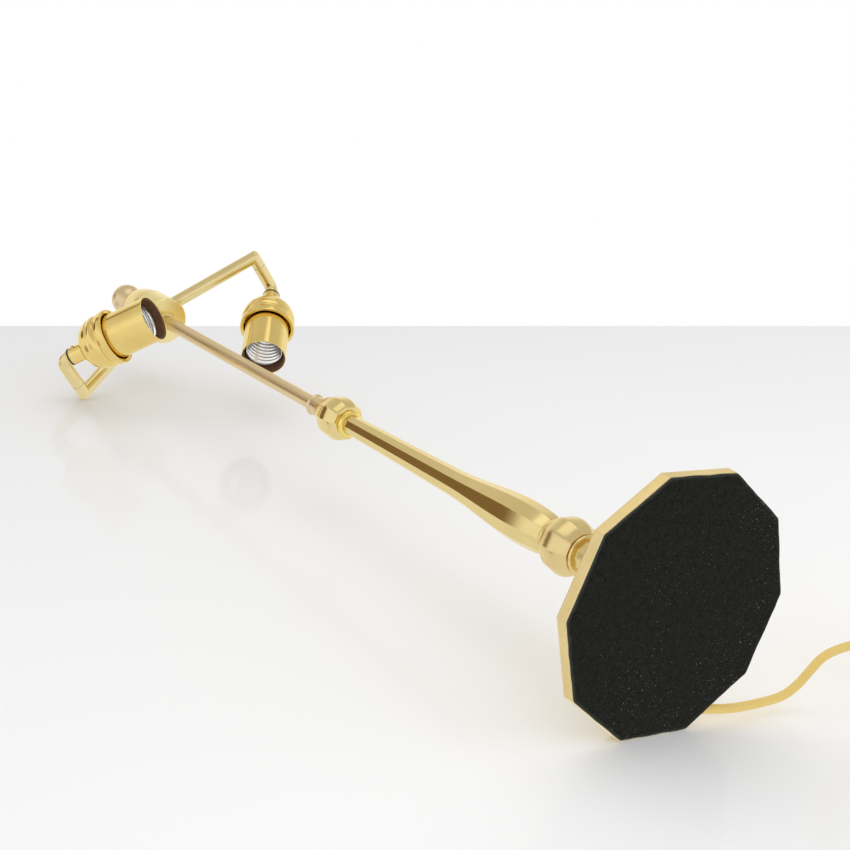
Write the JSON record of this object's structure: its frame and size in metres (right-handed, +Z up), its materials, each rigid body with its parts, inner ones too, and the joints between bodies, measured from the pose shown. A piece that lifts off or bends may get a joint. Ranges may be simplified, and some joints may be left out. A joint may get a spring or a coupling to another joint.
{
  "type": "swing arm desk lamp",
  "caption": "Brass desk lamp with a ten-sided foot, faceted column, sliding rod and two cranked swivel arms that carry bulb sockets.",
  "frame": {"origin": "stem axis at the underside of the felt, where the lamp stands", "axes": "+Z up the stem, +Y towards the side where the cord leaves the foot, +X towards the right arm"},
  "size_m": [0.3, 0.2292, 0.6529],
  "materials": {
    "black_felt": "dense black felt with fine pale specks",
    "cast_iron": "rough cast",
    "polished_brass": "polished and lacquered",
    "zinc_steel": "zinc plated",
    "plain_brass": "plain turned",
    "dark_steel": "blackened",
    "satin_brass": "brushed satin",
    "white_nylon": "moulded nylon",
    "dark_plastic": "moulded",
    "gold_cloth": "woven gold cloth cover",
    "dark_tie": "woven tie",
    "gold_plastic": "moulded",
    "socket_brass": "bright rolled brass",
    "brown_fibre": "brown insulating fibre",
    "dark_phenolic": "moulded phenolic",
    "screw_aluminium": "bright rolled"
  },
  "bodies": {
    "stand": {"felt_pad": "black_felt", "foot_weight": "cast_iron", "foot_shell": "polished_brass", "stem_nut": "zinc_steel", "stem_washer": "zinc_steel", "stem_nipple": "plain_brass", "foot_bead": "polished_brass", "lower_ball": "polished_brass", "ball_screw": "dark_steel", "ball_bead": "polished_brass", "column": "polished_brass", "column_ring": "polished_brass", "knop": "polished_brass", "clamp_collar": "satin_brass", "rod_guide": "white_nylon", "cord_bushing": "plain_brass", "cord_clamp": "dark_plastic", "cord": "gold_cloth", "cord_coil": "gold_cloth", "cord_tail": "gold_cloth", "cord_tie": "dark_tie", "plug_body": "gold_plastic", "plug_blades": "plain_brass"},
    "rod": {"rod": "satin_brass", "rod_stop": "plain_brass", "thrust_collar": "polished_brass", "hub_clip": "zinc_steel"},
    "head": {"hub_body": "polished_brass", "hub_bush": "polished_brass", "hub_dome": "polished_brass", "finial": "satin_brass", "right_arm": "polished_brass", "right_elbow": "polished_brass", "left_arm": "polished_brass", "left_elbow": "polished_brass"},
    "right_lamp": {"right_pivot": "plain_brass", "right_washer": "zinc_steel", "right_crank": "polished_brass", "right_nipple": "plain_brass", "right_cap": "socket_brass", "right_cap_screw": "plain_brass", "right_shell": "socket_brass", "right_liner": "brown_fibre", "right_core": "dark_phenolic", "right_screw_shell": "screw_aluminium", "right_contact": "plain_brass", "right_terminals": "plain_brass"},
    "left_lamp": {"left_pivot": "plain_brass", "left_washer": "zinc_steel", "left_crank": "polished_brass", "left_nipple": "plain_brass", "left_cap": "socket_brass", "left_cap_screw": "plain_brass", "left_shell": "socket_brass", "left_liner": "brown_fibre", "left_core": "dark_phenolic", "left_screw_shell": "screw_aluminium", "left_contact": "plain_brass", "left_terminals": "plain_brass"}
  },
  "joints": [
    {"name": "rod_slide", "type": "slide", "parent": "stand", "child": "rod", "axis": [0, 0, 1], "range_m": [-0.12, 0]},
    {"name": "head_swivel", "type": "hinge", "parent": "rod", "child": "head", "pos_m": [0, 0, 0.57428], "axis": [0, 0, 1], "range_deg": [-170, 170]},
    {"name": "right_elbow_swivel", "type": "hinge", "parent": "head", "child": "right_lamp", "pos_m": [0.08361, -0.00394, 0.56627], "axis": [-0.0471, -0.9989, 0], "range_deg": [-65, 150]},
    {"name": "left_elbow_swivel", "type": "hinge", "parent": "head", "child": "left_lamp", "pos_m": [-0.08361, 0.00394, 0.56627], "axis": [0.0471, 0.9989, 0], "range_deg": [-55, 160]}
  ]
}
